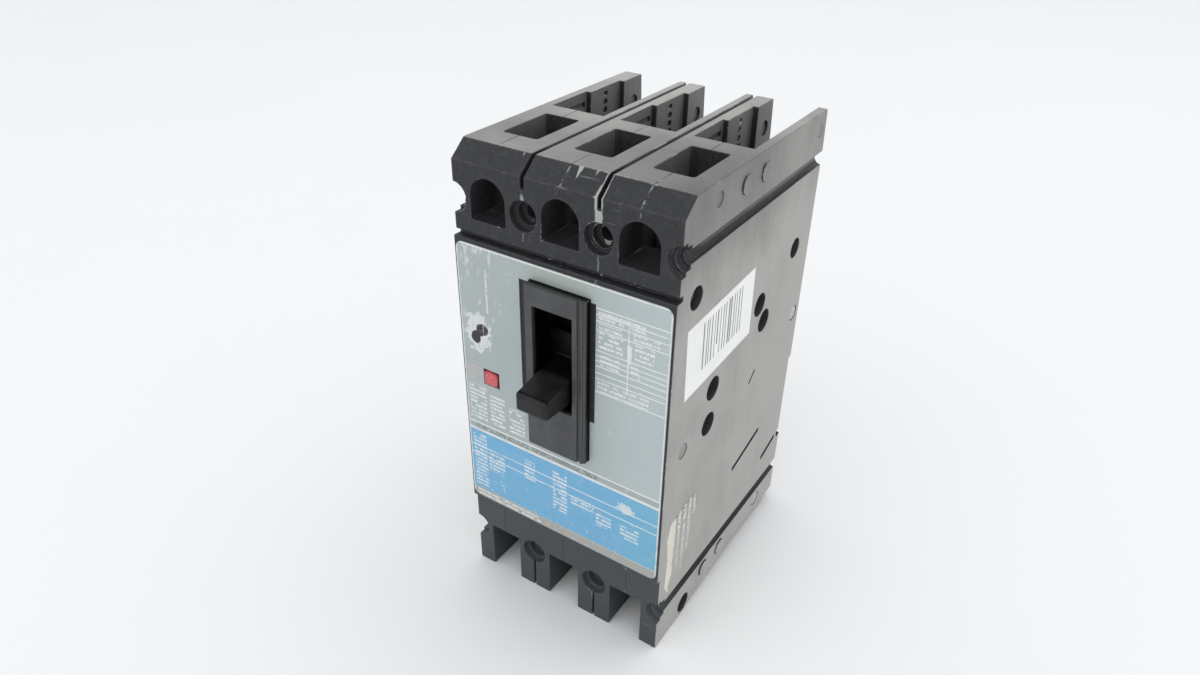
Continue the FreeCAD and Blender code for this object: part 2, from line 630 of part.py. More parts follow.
def build_handle():
    ay, az = HANDLE_AXIS
    middle = 180 + HANDLE_OFF
    nub = slab_x([(HANDLE_TIP_Y, 91.8), (HANDLE_TIP_Y, 97.6), (-3, 99.4), (7.5, 102.0),
                  (7.5, 93.4), (-3, 91.0)], -HANDLE_W / 2, HANDLE_W / 2)
    nub = filleted(nub, 1.2, lambda e: e.CenterOfMass.y < HANDLE_TIP_Y + 0.1)
    flange = sector(HANDLE_AXIS, *FLANGE_R, middle, FLANGE_HALF_ANGLE, -8.4, 8.4)
    stem_half = math.degrees(4.0 / SHIELD_R[0])
    stem = sector(HANDLE_AXIS, YOKE_REACH + 0.1, FLANGE_R[0] + 1, middle, stem_half, -4.4, 4.4)
    made["handle"] = fuse(nub, flange, stem)

    outer = CELL_HALF - FRAME_T - GAP
    bridge = sector(HANDLE_AXIS, YOKE_REACH - 3, YOKE_REACH, middle, stem_half + 0.6, -outer, outer)
    near = polar(HANDLE_AXIS, YOKE_REACH - 1.5, middle)
    legs = [bar_between(near, HANDLE_AXIS, 2.8, outer - YOKE_T, outer),
            bar_between(near, HANDLE_AXIS, 2.8, -outer, YOKE_T - outer)]
    legs = [leg.common(rod_x(ay, az, YOKE_REACH, -outer, outer)) for leg in legs]
    yoke = fuse(bridge, *legs)
    made["handle_yoke"] = yoke.cut(rod_x(ay, az, FIXED_PIN_R + RUN, -BIG, BIG))

    shield_mid = 180 + HANDLE_OFF / 2
    shield = sector(HANDLE_AXIS, *SHIELD_R, shield_mid, SHIELD_HALF_ANGLE, -8.6, 8.6)
    slot = sector(HANDLE_AXIS, SHIELD_R[0] - 1, SHIELD_R[1] + 1, shield_mid, 11.5, -4.9, 4.9)
    made["dust_shield"] = shield.cut(slot)


def toggle_points():
    """Lower link's pin on the crossbar, and the knee, at OFF."""
    low = polar(CROSSBAR_AXIS, LEVER_R, LEVER_ANGLE)
    span = math.dist(UPPER_PIN, low)
    bend = math.acos((UPPER_L**2 + span**2 - LOWER_L**2) / (2 * UPPER_L * span))
    line = math.atan2(low[1] - UPPER_PIN[1], low[0] - UPPER_PIN[0])
    return low, polar(UPPER_PIN, UPPER_L, math.degrees(line - bend))


def two_plates(a, b, x0, x1):
    """The two plates of a link, one on each side of the middle plane."""
    return group(bar_between(a, b, LINK_HALF, x0, x1), bar_between(a, b, LINK_HALF, -x1, -x0))


def build_toggle():
    low, knee = toggle_points()
    x0, x1 = LINK_X
    upper = two_plates(UPPER_PIN, knee, x0, x1).cut(rod_x(*knee, PIN_R + RUN, -6, 6))
    made["upper_link"] = fuse(upper, rod_x(*UPPER_PIN, PIN_R, -x1, x1))
    knee_pin = rod_x(*knee, PIN_R, -6.2, 6.2)
    out = x1 - x0 + 0.1      # the lower link's plates are outside the upper link's
    lower = two_plates(knee, low, x0 + out, x1 + out)
    lower = lower.cut(rod_x(*low, PIN_R + RUN, -6, 6))
    made["lower_link"] = lower.cut(knee_pin)
    made["knee_pin"] = knee_pin

    anchor = polar(HANDLE_AXIS, SPRING_ANCHOR_R, 180 + HANDLE_OFF)
    springs = []
    for x in (SPRING_X, -SPRING_X):
        start = V(x, anchor[0], anchor[1] - 2)
        way = V(x, *knee) - start
        springs.append(Part.makeCylinder(SPRING_R, way.Length - PIN_R - 0.05, start, way))
    made["main_springs"] = group(*springs)


def build_cradle():
    tip = CRADLE_TIP
    outline = [(CRADLE_AXIS[0] + 4, CRADLE_AXIS[1] + 3), (CRADLE_AXIS[0] - 4, CRADLE_AXIS[1] + 3),
               (CRADLE_AXIS[0] - 9, CRADLE_AXIS[1] - 9), (tip[0] + 2.6, tip[1] + 0.3),
               (tip[0], tip[1] + 0.3),
               (tip[0], tip[1] - 3), (UPPER_PIN[0] - 4, UPPER_PIN[1] - 6),
               (UPPER_PIN[0] + 4, UPPER_PIN[1] - 6), (UPPER_PIN[0] + 4, UPPER_PIN[1] + 4)]
    half = CRADLE_T / 2
    plate = slab_x(outline, -half, half)
    plate = plate.cut(rod_x(*CRADLE_AXIS, FIXED_PIN_R + RUN, -3, 3))
    uy, uz = UPPER_PIN
    slot = box(-3, 3, uy - 3.4, uy + 9, uz - 2.6, uz + 2.6)
    made["cradle"] = plate.cut(slot)

    ly, lz = LATCH_AXIS
    top = tip[1] + 0.9
    body = slab_x([(ly - 0.8, lz - 4.8), (ly - 0.8, top + 1.5), (tip[0] + 0.5, top + 1.5),
                   (tip[0] + 0.5, top), (ly + 0.8, top), (ly + 0.8, lz - 4.8)], -2.5, 2.5)
    boss = rod_x(ly, lz, 2.6, -2.5, 2.5)
    made["latch"] = fuse(body, boss).cut(rod_x(ly, lz, FIXED_PIN_R + RUN, -3, 3))


def build_contacts():
    cy, cz = CROSSBAR_AXIS
    end = shaft_end()
    low, _ = toggle_points()
    ear_x = (LINK_X[1] + 1.1 + 0.3, LINK_X[1] + 1.1 + 1.5)
    bar = rod_x(cy, cz, CROSSBAR_R, -end, end)
    ears = [bar_between((cy, cz), low, 2.8, *ear_x),
            bar_between((cy, cz), low, 2.8, -ear_x[1], -ear_x[0])]
    pin = rod_x(*low, PIN_R, -ear_x[1], ear_x[1])
    bar = fuse(bar, *ears, pin)
    tips, springs = [], []
    for name, x in POLES.items():
        arm = box(x - ARM_W / 2, x + ARM_W / 2, cy - ARM_D / 2, cy + ARM_D / 2,
                  cz - CROSSBAR_R - 3, cz + ARM_R)
        arm = filleted(arm, 2.0, lambda e: runs_along(e, 0) and e.CenterOfMass.z > cz)
        arm = turned(arm, CROSSBAR_AXIS, ARM_OPEN)
        tip = box(x - 2.4, x + 2.4, cy + ARM_D / 2, cy + ARM_D / 2 + TIP_T,
                  cz + TIP_R - 2.8, cz + TIP_R + 2.8)
        tips.append(turned(tip, CROSSBAR_AXIS, ARM_OPEN))
        made["contact_arm_" + name] = arm
        bar = bar.cut(arm)
        ring = rod_x(cy, cz, CROSSBAR_R + 1.2, x + ARM_W / 2 + 0.3, x + ARM_W / 2 + 1.7)
        springs.append(ring.cut(rod_x(cy, cz, CROSSBAR_R + 0.05, x - 20, x + 20)))
    made["crossbar"] = bar
    made["moving_contacts"] = group(*tips)
    made["contact_springs"] = group(*springs)
    made["stationary_contacts"] = group(*[stationary_tip(x) for x in POLES.values()])


def braid(x):
    """Flexible link from the load strap's top to the heel of the contact arm."""
    y0 = LOAD_LUG_BACK + STRAP_T
    lower = box(x - 2.5, x + 2.5, y0, y0 + 2.4, 54, 63)
    across = box(x - 2.5, x + 2.5, y0, CROSSBAR_AXIS[0] + 2, 61, 63)
    return fuse(lower, across)


def build_arc_chute(name, x):
    plates = []
    for i in range(CHUTE_PLATES):
        y = CHUTE_Y0 + 0.6 + CHUTE_PITCH * i
        plate = box(x - 8.0, x + 8.0, y, y + 1.2, 103, 134)
        plates.append(plate.cut(box(x - 3.2, x + 3.2, y - 1, y + 3, 100, 119)))
    made["arc_chute_plates_" + name] = group(*plates)
    end = CHUTE_Y0 + 0.6 + CHUTE_PITCH * (CHUTE_PLATES - 1) + 1.8
    walls = [box(x + 8.0, x + CELL_HALF, CHUTE_Y0, end, 102, 135),
             box(x - CELL_HALF, x - 8.0, CHUTE_Y0, end, 102, 135)]
    made["arc_chute_walls_" + name] = group(*walls)


def build_all():
    build_case()
    build_rivets()
    build_front()
    build_stickers()
    for name, x in POLES.items():
        build_line_end(name, x)
        build_load_end(name, x)
        build_arc_chute(name, x)
        made["armature_" + name] = armature(x)
    made["bimetals"] = group(*[bimetal(x) for x in POLES.values()])
    made["magnet_yokes"] = group(*[magnet_yoke(x) for x in POLES.values()])
    made["flexible_braids"] = group(*[braid(x) for x in POLES.values()])
    build_trip_bar()
    build_button()
    build_frame()
    build_handle()
    build_toggle()
    build_cradle()
    build_contacts()


build_all()
os.makedirs("parts", exist_ok=True)
middle_y = (HANDLE_TIP_Y + BACK_Y) / 2
for node, shape in made.items():
    shape.translate(V(0, -middle_y, 0))
    shape.exportStep("parts/" + node + ".step")
print(len(made), "nodes", "moved back by", -middle_y)
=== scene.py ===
# %% [markdown]
# # A three-pole moulded case breaker
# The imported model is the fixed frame: it holds every piece at its true size and place.
# This notebook gives those pieces their looks, in small steps. Where a piece needs softer
# corners or finer shape than the frame has, a copy is worked over and stands in for it.
# Everything is in metres, with X across the poles, Y from front to back and Z up.

# %% Load the frame
import json
import math

import bmesh
import bpy
from mathutils import Matrix, Vector


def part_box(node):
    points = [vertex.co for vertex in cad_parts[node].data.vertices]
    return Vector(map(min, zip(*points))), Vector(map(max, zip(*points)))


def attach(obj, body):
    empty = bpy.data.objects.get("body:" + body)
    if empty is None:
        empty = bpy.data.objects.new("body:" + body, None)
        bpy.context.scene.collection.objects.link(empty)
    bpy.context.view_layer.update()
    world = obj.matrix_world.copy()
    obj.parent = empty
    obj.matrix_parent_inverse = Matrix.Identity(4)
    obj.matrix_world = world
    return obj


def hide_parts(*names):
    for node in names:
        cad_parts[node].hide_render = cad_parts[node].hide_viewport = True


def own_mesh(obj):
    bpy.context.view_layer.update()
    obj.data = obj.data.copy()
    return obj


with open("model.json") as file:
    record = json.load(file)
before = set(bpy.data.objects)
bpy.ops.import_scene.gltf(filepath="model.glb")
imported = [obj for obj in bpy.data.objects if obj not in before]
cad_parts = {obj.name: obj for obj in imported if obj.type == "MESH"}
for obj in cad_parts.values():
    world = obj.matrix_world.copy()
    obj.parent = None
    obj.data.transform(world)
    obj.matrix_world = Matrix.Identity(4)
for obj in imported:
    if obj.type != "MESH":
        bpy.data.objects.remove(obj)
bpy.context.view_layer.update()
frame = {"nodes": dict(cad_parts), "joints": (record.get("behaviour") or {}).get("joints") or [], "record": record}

MM = 0.001
PITCH = 25.4  # from pole to pole, in millimetres like every size inside a material
HEIGHT = 162.6
nodes = frame["nodes"]
body_of = {n: b for b, group in frame["record"]["behaviour"]["bodies"].items() for n in group}
slot_of = {s["node"]: s["material_slot"] for s in frame["record"]["subparts"]}
POLES = ("left", "center", "right")

# %% [markdown]
# ## Mixing materials
# A Blender material is a tree of nodes. Wiring it by hand in Python is long-winded, and
# pasting values is hard to follow. A small class around a socket lets the maths read as
# maths: `dust * (1 - shade)` adds the Math nodes by itself. A second class adds any other
# node from its type, its settings and its sockets.

# %% A value in a material
class Wire:
    """A socket's value. Arithmetic on it adds Math nodes to the material."""

    def __init__(self, mix, socket):
        self.mix = mix
        self.socket = socket

    def math(self, operation, *others):
        return self.mix.sum_of(operation, self, *others)

    def __add__(self, other):
        return self.mix.sum_of("ADD", self, other)

    def __sub__(self, other):
        return self.mix.sum_of("SUBTRACT", self, other)

    def __mul__(self, other):
        return self.mix.sum_of("MULTIPLY", self, other)

    def __truediv__(self, other):
        return self.mix.sum_of("DIVIDE", self, other)

    def __rsub__(self, other):
        return self.mix.sum_of("SUBTRACT", other, self)

    __radd__ = __add__
    __rmul__ = __mul__


# %% The mixing bench
class Bench:
    """One material being mixed, with its Principled shader at the end."""

    def __init__(self, name):
        self.material = bpy.data.materials.new(name)
        self.material.use_nodes = True
        self.tree = self.material.node_tree
        self.tree.nodes.clear()
        self.shader = self.tree.nodes.new("ShaderNodeBsdfPrincipled")
        out = self.tree.nodes.new("ShaderNodeOutputMaterial")
        self.tree.links.new(self.shader.outputs[0], out.inputs["Surface"])
        where = self.node("TexCoord", out="Object")
        self.place = self.node("VectorMath", {"operation": "SCALE"}, {0: where, "Scale": 1 / MM})
        self.x, self.y, self.z = self.split(self.place)

    def node(self, kind, settings=None, sockets=None, out=0):
        """Adds one node: its settings first, then the values or links of its sockets."""
        made = self.tree.nodes.new("ShaderNode" + kind)
        for key, value in (settings or {}).items():
            setattr(made, key, value)
        self.fill(made, sockets or {})
        return Wire(self, made.outputs[out])

    def fill(self, made, sockets):
        """Links the sockets that are given a wire, and sets the others to a constant."""
        for key, value in sockets.items():
            if isinstance(value, Wire):
                self.tree.links.new(value.socket, made.inputs[key])
            else:
                made.inputs[key].default_value = value

    def sum_of(self, operation, *values):
        return self.node("Math", {"operation": operation}, dict(enumerate(values)))

    def split(self, vector):
        made = self.tree.nodes.new("ShaderNodeSeparateXYZ")
        self.fill(made, {0: vector})
        return [Wire(self, made.outputs[i]) for i in range(3)]

    def facing(self):
        """The surface's own direction, as three values from -1 to 1."""
        return self.split(self.node("TexCoord", out="Normal"))

    def vector(self, x, y, z):
        return self.node("CombineXYZ", None, {"X": x, "Y": y, "Z": z})

    def noise(self, scale, detail=3.0, rough=0.55, stretch=(1, 1, 1), shift=0.0):
        """Noise from 0 to 1, with its scale in features per millimetre."""
        spot = self.node("Mapping", None, {"Vector": self.place, "Scale": stretch,
                                           "Location": (shift, shift, shift)})
        return self.node("TexNoise", None, {"Vector": spot, "Scale": scale, "Detail": detail,
                                            "Roughness": rough})

    def ramp(self, value, low, high):
        """A smooth rise from 0 at low to 1 at high."""
        return self.node("MapRange", {"interpolation_type": "SMOOTHSTEP"},
                         {"Value": value, "From Min": low, "From Max": high})

    def near(self, value, middle, half):
        """1 within half of the middle, and 0 elsewhere."""
        return self.sum_of("COMPARE", value, middle, half)

    def patch(self, x0, x1, z0, z1):
        """1 inside a rectangle on the front."""
        return (self.near(self.x, (x0 + x1) / 2, (x1 - x0) / 2)
                * self.near(self.z, (z0 + z1) / 2, (z1 - z0) / 2))

    def strongest(self, masks):
        """The highest of several masks at each place."""
        total, *rest = masks
        for mask in rest:
            total = total.math("MAXIMUM", mask)
        return total

    def blend(self, mask, under, over):
        """Colour over on colour under, where the mask is 1."""
        under, over = [c if isinstance(c, Wire) else (*c, 1.0) for c in (under, over)]
        return self.node("Mix", {"data_type": "RGBA"}, {0: mask, 6: under, 7: over}, out=2)

    def bump(self, height, depth_mm, under=None):
        """Relief of this depth, on top of an earlier relief where there is one."""
        sockets = {"Height": height, "Distance": depth_mm * MM, "Strength": 1.0}
        if under:
            sockets["Normal"] = under
        return self.node("Bump", None, sockets)

    def done(self, colour, rough, normal, **fixed):
        """Connects the shader. Fixed ones are constants on its other sockets."""
        self.fill(self.shader, {"Base Color": colour, "Roughness": rough, "Normal": normal})
        self.fill(self.shader, {key.replace("_", " "): value for key, value in fixed.items()})
        print("mixed", self.material.name)
        return self.material


# %% [markdown]
# ## The moulded case
# The case is glass-filled thermoset, pressed hot: charcoal, satin, with a fine pebble from
# the mould and swirls where the filler flowed. Years of handling leave a pale film on the
# outside of the sides, top and back, and painted sheen and light make those faces paler
# still, while the front keeps its dark skin, paler and bluer towards the bottom. One material
# can carry all of it: the surface's own direction and its place say how much film and sheen
# it has, so it turns with the object and needs no painted map.

# %% Charcoal thermoset
SKIN = (0.024, 0.025, 0.028)
SKIN_WORN = (0.040, 0.042, 0.045)
SKIN_LOW = (0.056, 0.066, 0.071)
# The pale film stands for real dust and also for painted sheen on the faces that catch the light.
FILM_AND_SHEEN = (0.405, 0.402, 0.378)
THIN_FILM_AND_SHEEN = (0.150, 0.150, 0.144)
CHALK = (0.50, 0.51, 0.50)


def skin_film_and_sheen(bench):
    """Colour of the case, from the dark skin to the pale film and painted sheen."""
    x, y, z = bench.x, bench.y, bench.z
    facing = bench.facing()
    flank = bench.ramp(facing[0].math("ABSOLUTE"), 0.75, 0.98)
    outside = bench.ramp(x.math("ABSOLUTE"), 37.2, 37.9)
    # Painted light as well as film: the sides turn paler lower down and towards the back, the walls of the wells
    # at the top take some, and the top turns paler towards the left and the back.
    side = flank * outside * (0.53 + 0.41 * bench.ramp(z, 152.0, 120.0)
                              + 0.16 * bench.ramp(y, -10.0, 48.0))
    wells = (flank * (1 - outside) * bench.ramp(z, 118.0, 128.0)
             * (0.32 * bench.ramp(y, -31.0, -24.0) + 0.10 * bench.ramp(y, 0.0, 8.0)))
    top = (bench.ramp(facing[2], 0.82, 0.98) * bench.ramp(z, 156.0, 159.0)
           * (0.40 + 0.20 * bench.ramp(x, 34.0, -12.0) + 0.36 * bench.ramp(y, -22.0, 40.0)))
    back = bench.ramp(facing[1], 0.75, 0.98) * bench.ramp(y, 52.0, 54.0)
    film_and_sheen = side + wells + top + back * 0.80
    cloud = bench.noise(0.045, 5.0, 0.6)
    streak = bench.noise(0.12, 4.0, 0.65, (1.0, 1.0, 0.25), 7.0)
    film_and_sheen = film_and_sheen * (0.80 + 0.30 * bench.ramp(cloud * 0.6 + streak * 0.4, 0.3, 0.7))
    skin = bench.blend(bench.ramp(bench.noise(0.5, 5.0, 0.7), 0.45, 0.75), SKIN, SKIN_WORN)
    low = bench.ramp(z, 60.0, 28.0) * bench.ramp(y, -20.0, -34.0)
    skin = bench.blend(low * (0.7 + 0.3 * cloud), skin, SKIN_LOW)
    thin = bench.blend(bench.ramp(film_and_sheen, 0.0, 0.5), skin, THIN_FILM_AND_SHEEN)
    return bench.blend(bench.ramp(film_and_sheen, 0.25, 1.05), thin, FILM_AND_SHEEN), film_and_sheen


# %% Chalk where the poles meet
# Each slot has its place across, how far the rubbing reaches beside it, the height it starts
# at, and how strong it is.
SLOTS = ((PITCH / 2, 2.7, 139.0, 1.15), (PITCH / 2, 0.8, 127.0, 0.74),
         (-PITCH / 2, 2.1, 143.0, 0.70), (-PITCH / 2, 0.7, 130.0, 0.60),
         (PITCH, 0.5, 141.0, 0.70), (-PITCH, 0.4, 150.0, 0.58))
NICKS = ((3.4, 3.0), (8.6, 1.5), (-15.6, 1.2))  # place across and depth
FADE = 6.0  # the height over which the rubbing comes in


def chalk(bench):
    """Pale rubbing beside the slots between the poles, and nicks in the front's top edge."""
    grit = bench.noise(1.0, 4.0, 0.7, (1, 1, 0.45))
    patchy = bench.noise(0.22, 2.0, 0.5, (1, 1, 0.8), 13.0)
    front = bench.ramp(bench.facing()[1], -0.35, -0.6) * bench.ramp(bench.y, -28.0, -34.0)
    rubs = []
    for slot_x, reach, foot_z, amount in SLOTS:
        off = (bench.x - slot_x).math("ABSOLUTE")
        band = bench.ramp(off, reach, 0.25) * bench.ramp(bench.z, foot_z, foot_z + FADE) * amount
        uneven = band + 0.8 * (grit - 0.5) + 0.9 * (patchy - 0.5)
        rubs.append(bench.ramp(uneven, 0.62, 0.95))
    for nick_x, depth in NICKS:
        reach = (bench.z - (HEIGHT - depth)) * 0.30 - (bench.x - nick_x).math("ABSOLUTE")
        rubs.append(bench.ramp(reach + 0.4 * (grit - 0.5), 0.0, 0.2))
    return bench.strongest(rubs) * front


def mix_case():
    bench = Bench("case thermoset")
    colour, film_and_sheen = skin_film_and_sheen(bench)
    hairline = bench.noise(1.6, 2.0, 0.5, (0.05, 0.3, 1.0), 3.0)
    rubs = bench.ramp(hairline, 0.66, 0.74) * bench.ramp(bench.noise(0.06, 2.0), 0.5, 0.62)
    colour = bench.blend(rubs * 0.15, colour, CHALK)
    specks = bench.ramp(bench.noise(1.3, 2.0, 0.5, shift=11.0), 0.71, 0.76)
    colour = bench.blend(specks * 0.35, colour, (0.30, 0.30, 0.29))
    colour = bench.blend(chalk(bench) * 0.7, colour, CHALK)
    pebble = bench.noise(2.2, 3.0, 0.6)
    swirl = bench.noise(0.09, 4.0, 0.6, (1.0, 1.0, 0.4))
    normal = bench.bump(pebble, 0.05)
    normal = bench.bump(swirl, 0.12, normal)
    rough = 0.44 + 0.16 * pebble + 0.10 * bench.ramp(film_and_sheen, 0.2, 0.9)
    return bench.done(colour, rough, normal, Specular_IOR_Level=0.32)


case_thermoset = mix_case()

# %% [markdown]
# ## Rubbed edges
# Sharp moulded edges wear first. The filler shows as a chalky line that comes and goes. The
# rounded strip along each edge is its own set of faces after a bevel, so it can simply be
# given its own material. The strip starts from the same skin, pale film and painted sheen as
# the faces beside it, and broad noise says where the rubbing was hard: mostly where two
# shells of the case meet, and along the lip above the front.

# %% Chalky edge
def mix_case_edge():
    bench = Bench("case edge")
    ground, film_and_sheen = skin_film_and_sheen(bench)
    where = bench.noise(0.11, 3.0, 0.6, shift=4.0)
    grit = bench.noise(1.4, 3.0, 0.7)
    seam = bench.near((bench.x.math("ABSOLUTE") - PITCH).math("ABSOLUTE"), 0.0, 0.9)
    from_lip = (bench.x - 6.0).math("ABSOLUTE")
    lip = bench.ramp(bench.z, 148.0, 152.0) * bench.ramp(from_lip, 9.0, 6.0)
    rubbed = chalk(bench)
    often = 0.06 * seam + 0.10 * lip + 0.40 * rubbed + 0.08 * bench.ramp(film_and_sheen, 0.2, 0.6)
    worn = bench.ramp(where + 0.35 * grit + often, 0.78, 0.92)
    chips = bench.ramp(bench.noise(0.35, 2.0, shift=9.0), 0.70, 0.75)
    tone = bench.blend(bench.ramp(grit, 0.3, 0.7) * 0.25, ground, (0.14, 0.14, 0.14))
    colour = bench.blend(worn * (0.55 + 0.3 * rubbed), tone, CHALK)
    colour = bench.blend(chips * 0.5, colour, CHALK)
    return bench.done(colour, 0.46 + 0.25 * worn, bench.bump(grit, 0.06), Specular_IOR_Level=0.32)


def mix_front_edge():
    bench = Bench("front edge")
    where = bench.noise(0.13, 3.0, 0.6, shift=4.0)
    grit = bench.noise(1.4, 3.0, 0.7)
    worn = bench.ramp(where + 0.3 * grit, 0.76, 0.92)
    tone = bench.blend(bench.ramp(grit, 0.3, 0.7), (0.035, 0.036, 0.038), (0.055, 0.056, 0.058))
    colour = bench.blend(worn * 0.7, tone, (0.20, 0.20, 0.20))
    return bench.done(colour, 0.40 + 0.2 * worn, bench.bump(grit, 0.04))


case_edge = mix_case_edge()
front_edge = mix_front_edge()

# %% [markdown]
# ## The black front mouldings
# The escutcheon, the handle and the shield behind it are a finer plastic than the case.
# Fingers polish it and leave short scratches. The handle is blacker than its frame. Inside the
# opening all of it is painted near black as shade, and the shield, deep in the opening, is
# painted blacker still as shade, so one function mixes all three.

# %% Black front plastic
def mix_front(name, dark, pale, scratch, gloss):
    """Plastic painted near black as shade on the walls inside the handle's opening and deep behind it."""
    bench = Bench(name)
    smear = bench.noise(0.14, 4.0, 0.6)
    fine = bench.noise(3.0, 2.0, 0.5)
    nick = bench.ramp(bench.noise(1.1, 3.0, 0.6, (1.0, 1.0, 0.18), 5.0), 0.67, 0.73)
    colour = bench.blend(bench.ramp(smear, 0.35, 0.7), dark, pale)
    colour = bench.blend(nick * scratch, colour, (0.16, 0.16, 0.16))
    # Painted shade: the walls inside the opening and everything deep in it turn near black, with metal that gives
    # no shine.
    walls = bench.ramp(bench.facing()[1], -0.8, -0.5) * bench.ramp(bench.y, -44.0, -42.0)
    opening_shade = walls.math("MAXIMUM", bench.ramp(bench.y, -37.0, -34.0))
    colour = bench.blend(opening_shade, colour, (0.004, 0.004, 0.004))
    bench.fill(bench.shader, {"Metallic": opening_shade * 0.75})  # a black that gives no shine
    rough = 0.36 + 0.16 * smear + 0.05 * fine
    return bench.done(colour, rough, bench.bump(fine, 0.02), Specular_IOR_Level=gloss)


front_plastic = mix_front("escutcheon plastic", (0.046, 0.048, 0.050),
                          (0.070, 0.072, 0.075), 0.35, 0.42)
handle_plastic = mix_front("handle plastic", (0.006, 0.006, 0.007),
                           (0.012, 0.012, 0.013), 0.30, 0.34)
# The shield, deep in the opening, is painted blacker still as shade.
shield_shade_black = mix_front("shield plastic in painted shade", (0.004, 0.004, 0.004),
                           (0.007, 0.007, 0.007), 0.10, 0.20)

# %% Red button plastic
BUTTON_X, BUTTON_Z = -26.3, 86.9


def mix_button():
    bench = Bench("red plastic")
    dust = bench.noise(1.1, 4.0, 0.6)
    from_middle = bench.vector(bench.x - BUTTON_X, 0.0, bench.z - BUTTON_Z)
    span = bench.node("VectorMath", {"operation": "LENGTH"}, {0: from_middle}, out="Value")
    colour = bench.blend(bench.ramp(dust, 0.35, 0.7), (0.54, 0.06, 0.075), (0.64, 0.17, 0.18))
    # Painted shade: the red darkens towards the button's rim.
    colour = bench.blend(bench.ramp(span, 2.3, 3.4) * 0.6, colour, (0.10, 0.02, 0.02))
    return bench.done(colour, 0.36 + 0.15 * dust, bench.bump(dust, 0.02))


red_plastic = mix_button()

# %% [markdown]
# ## The printed nameplate
# A thin sheet printed in grey, with a blue band for the ratings, a ruled table and rows of
# fine print. The print here is only bars and dashes that say nothing, at the size and place
# of real rows of type. Rows come from one repeating ramp down the plate, and words from a
# noise that changes from row to row, so a whole block of type costs one rectangle. Scuffs,
# thin scratches and a flaked patch come last, on top of everything printed.

# %% Rows of type that say nothing
ROW = 1.55  # height of one row
# A block runs between two places across and two heights.
PALE_BLOCKS = (
    (-36.2, -29.0, 68.2, 82.6), (-27.6, -21.4, 68.2, 80.8), (-19.8, -13.4, 68.2, 78.2),
    (14.2, 29.5, 122.4, 125.6), (14.4, 22.0, 119.4, 121.6), (25.6, 34.0, 119.4, 121.8),
    (14.4, 22.4, 112.9, 118.8), (26.2, 32.6, 113.6, 118.6), (14.8, 21.4, 107.4, 112.0),
    (25.2, 28.2, 107.4, 112.0), (14.2, 31.4, 98.4, 102.4),
    (-35.8, -30.2, 38.6, 62.0), (-29.6, -22.6, 47.5, 55.5), (-14.2, -9.8, 51.6, 59.6),
    (-2.6, 3.0, 44.0, 60.8), (4.6, 13.8, 49.4, 53.4), (14.4, 20.2, 45.8, 51.4),
    (23.6, 30.4, 45.4, 50.8), (-35.5, -7.5, 33.6, 36.8),
)


def type_rows(bench):
    """Rows of short dashes, in words, over the whole plate."""
    row = bench.sum_of("FLOOR", bench.z / ROW)
    height = bench.sum_of("FRACT", bench.z / ROW)
    word_at = bench.vector(bench.x * 0.42, row * 5.3, 0.0)
    words = bench.node("TexNoise", None, {"Vector": word_at, "Scale": 1.0, "Detail": 1.0})
    letter_at = bench.vector(bench.x * 2.6, row * 9.1, bench.z * 1.1)
    letters = bench.node("TexNoise", None, {"Vector": letter_at, "Scale": 1.0, "Detail": 2.0})
    body = bench.near(height, 0.5, 0.30)
    return body * bench.ramp(words, 0.36, 0.42) * (0.25 + 0.75 * bench.ramp(letters, 0.38, 0.54))


# %% Plate print
HALF_PLATE, PLATE_FOOT, PLATE_TOP = 38, 33, 134
BLUE_BAND, TITLE_BAND, FOOT_BAND = (37.7, 63.3), (64.2, 66.4), (33.0, 37.2)
LINES = ((63.2, 64.2), (66.3, 66.9), (56.4, 56.8), (52.8, 53.2), (132.5, 133.4))
RULES = (126.1, 124.1, 122.1, 119.1, 112.4, 110.6, 108.9, 107.0, 104.8, 102.8, 98.1)
RULE = 0.2  # half the thickness of a rule in the table


def full_width(bench, heights):
    """1 between two heights, over the plate's whole width."""
    return bench.patch(-HALF_PLATE, HALF_PLATE, *heights)


